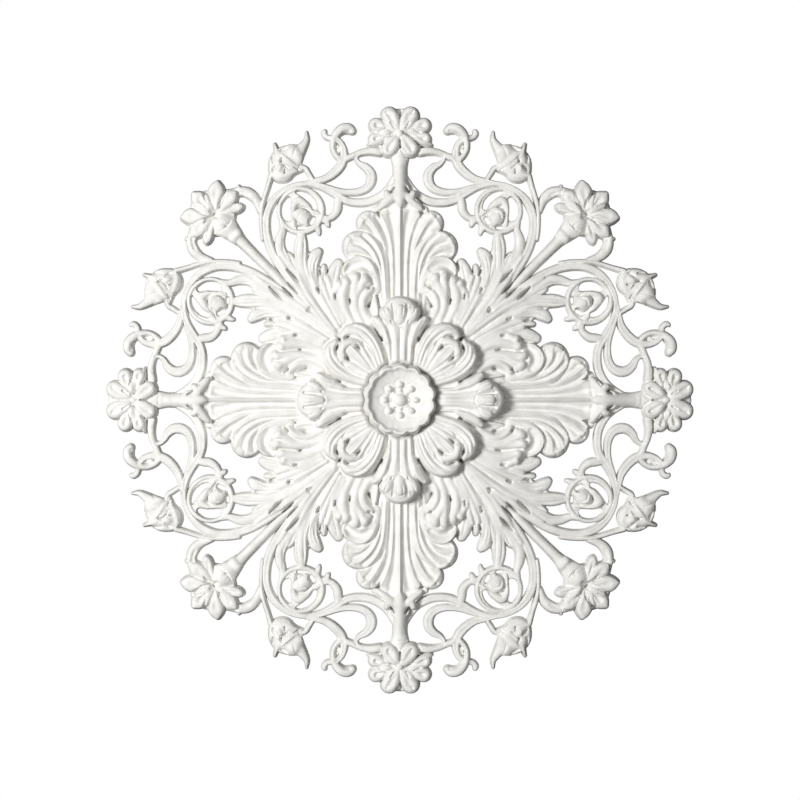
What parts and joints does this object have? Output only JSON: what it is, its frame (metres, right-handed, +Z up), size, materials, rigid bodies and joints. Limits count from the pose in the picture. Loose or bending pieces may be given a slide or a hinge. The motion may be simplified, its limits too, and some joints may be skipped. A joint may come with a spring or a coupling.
{
  "type": "ceiling rose",
  "caption": "Round openwork plaster ceiling rose: a dished rosette, two tiers of curling leaves, and a border of scrolls, buds and flowers.",
  "frame": {"origin": "centre of the flat back, in the plane that meets the ceiling", "axes": "+Z up into the ceiling, out of the flat back; the carved face looks down along -Z; +X and +Y run along the axes of two of the four large leaves"},
  "size_m": [0.7034, 0.7034, 0.0526],
  "materials": {
    "plaster": "cast plaster with a matt white finish"
  },
  "bodies": {
    "root": {"rose": "plaster"}
  },
  "joints": []
}
